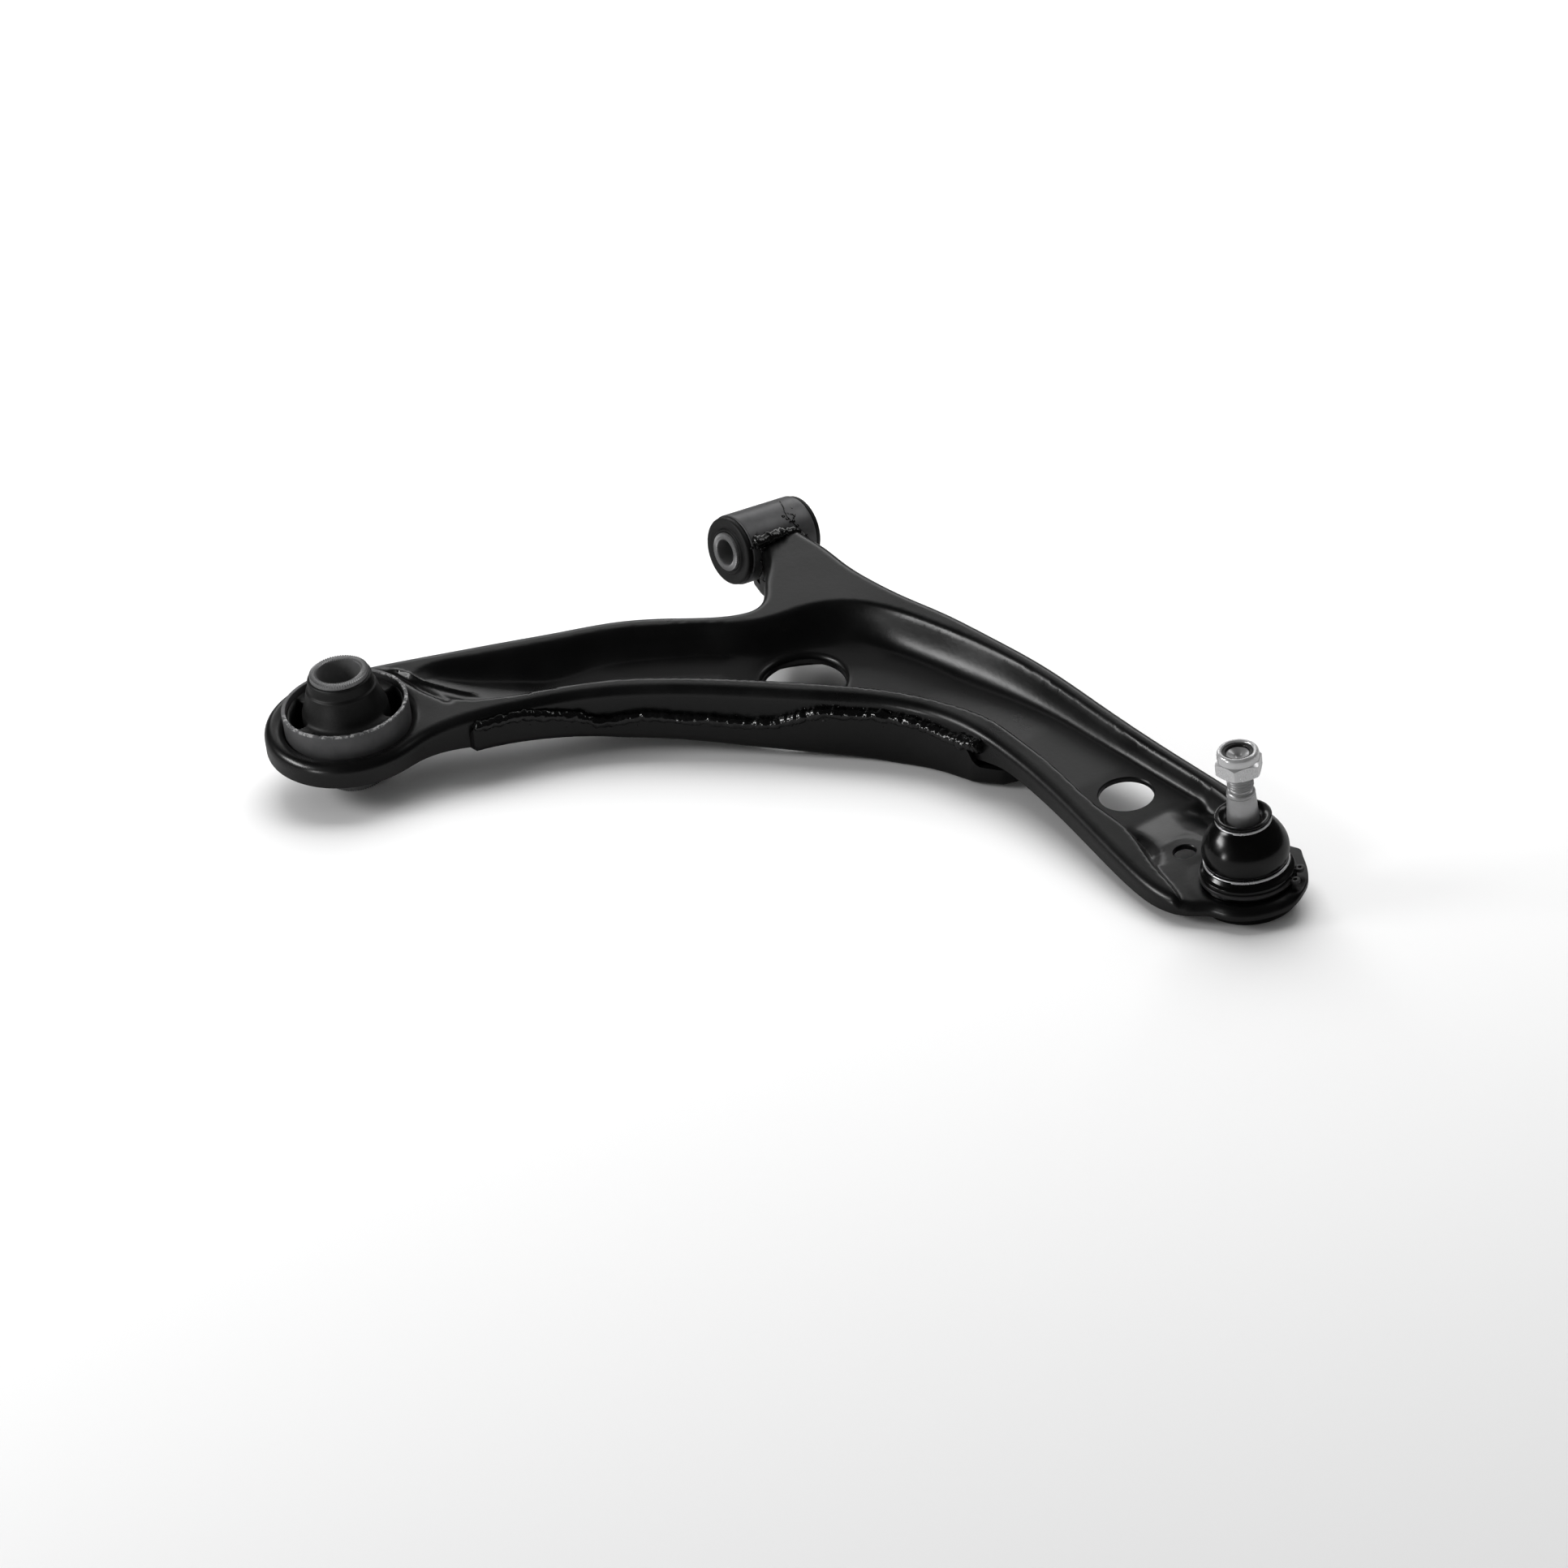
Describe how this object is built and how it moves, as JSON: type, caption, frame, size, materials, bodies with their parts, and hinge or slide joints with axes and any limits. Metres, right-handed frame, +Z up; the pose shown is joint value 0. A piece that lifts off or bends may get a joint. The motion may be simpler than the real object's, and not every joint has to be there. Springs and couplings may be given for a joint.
{
  "type": "front lower control arm",
  "caption": "Pressed-steel L-shaped lower suspension arm with a horizontal front bush, an upright rear bush and a riveted-in ball joint under a lock nut.",
  "frame": {"origin": "centre of the front bush bore, where the arm pivots on the subframe", "axes": "+X outboard to the ball joint, +Y forward from the rear bush to the front bush, +Z up along the rear bush bore and the ball stud at rest"},
  "size_m": [0.4379, 0.3131, 0.0878],
  "materials": {
    "black_coated_steel": "semi-gloss black electrocoat on pressed steel",
    "weld_metal": "lumpy arc weld bead under black coating",
    "bare_steel": "phosphated dark steel with rubbed edges",
    "bush_rubber": "satin moulded rubber",
    "boot_rubber": "glossy moulded chloroprene",
    "bearing_plastic": "natural acetal",
    "stud_steel": "ground steel with a light plated haze",
    "clamp_wire": "bright spring wire",
    "spring_steel": "black oxide",
    "zinc_plated_steel": "clear zinc plate",
    "black_nylon": "moulded nylon"
  },
  "bodies": {
    "arm": {"upper_pressing": "black_coated_steel", "lower_closing_plate": "black_coated_steel", "near_seam_weld": "weld_metal", "neck_tube_weld": "weld_metal", "front_bush_tube": "black_coated_steel", "front_bush_outer_sleeve": "bare_steel", "front_bush_rubber": "bush_rubber", "rear_bush_outer_sleeve": "bare_steel", "rear_bush_rubber": "bush_rubber", "ball_joint_housing": "black_coated_steel", "ball_joint_liner": "bearing_plastic", "ball_joint_preload_ring": "bearing_plastic", "ball_joint_bottom_cover": "black_coated_steel", "snap_ring": "spring_steel", "boot_lower_clamp": "clamp_wire"},
    "front_pivot": {"front_bush_inner_sleeve": "bare_steel"},
    "rear_pivot": {"rear_bush_inner_sleeve": "bare_steel"},
    "boot": {"dust_boot": "boot_rubber"},
    "boot_collar": {"boot_upper_clamp": "clamp_wire"},
    "stud": {"ball_stud": "stud_steel", "lock_nut": "zinc_plated_steel", "lock_nut_insert": "black_nylon"}
  },
  "joints": [
    {"name": "front_bush_twist", "type": "hinge", "parent": "arm", "child": "front_pivot", "pos_m": [0, 0, 0], "axis": [-0.0609, 0.9838, -0.1685], "range_deg": [-25, 25], "stiffness_Nm_per_rad": 60},
    {"name": "rear_bush_tilt", "type": "hinge", "parent": "arm", "child": "rear_pivot", "pos_m": [0, -0.23725, 0.00245], "axis": [0, 1, 0], "range_deg": [-8, 8], "stiffness_Nm_per_rad": 120, "deforming": ["rear_bush_rubber"]},
    {"name": "ball_joint_bump_tilt", "type": "hinge", "parent": "arm", "child": "boot", "pos_m": [0.3707, 0, -0.0115], "axis": [0, 1, 0], "range_deg": [-18, 18], "deforming": ["dust_boot"]},
    {"name": "ball_joint_fore_aft_tilt", "type": "hinge", "parent": "boot", "child": "boot_collar", "pos_m": [0.3707, 0, -0.0115], "axis": [1, 0, 0], "range_deg": [-18, 18]},
    {"name": "ball_joint_steer_spin", "type": "hinge", "parent": "boot_collar", "child": "stud", "pos_m": [0.3707, 0, -0.0115], "axis": [0, 0, 1], "continuous": true}
  ]
}
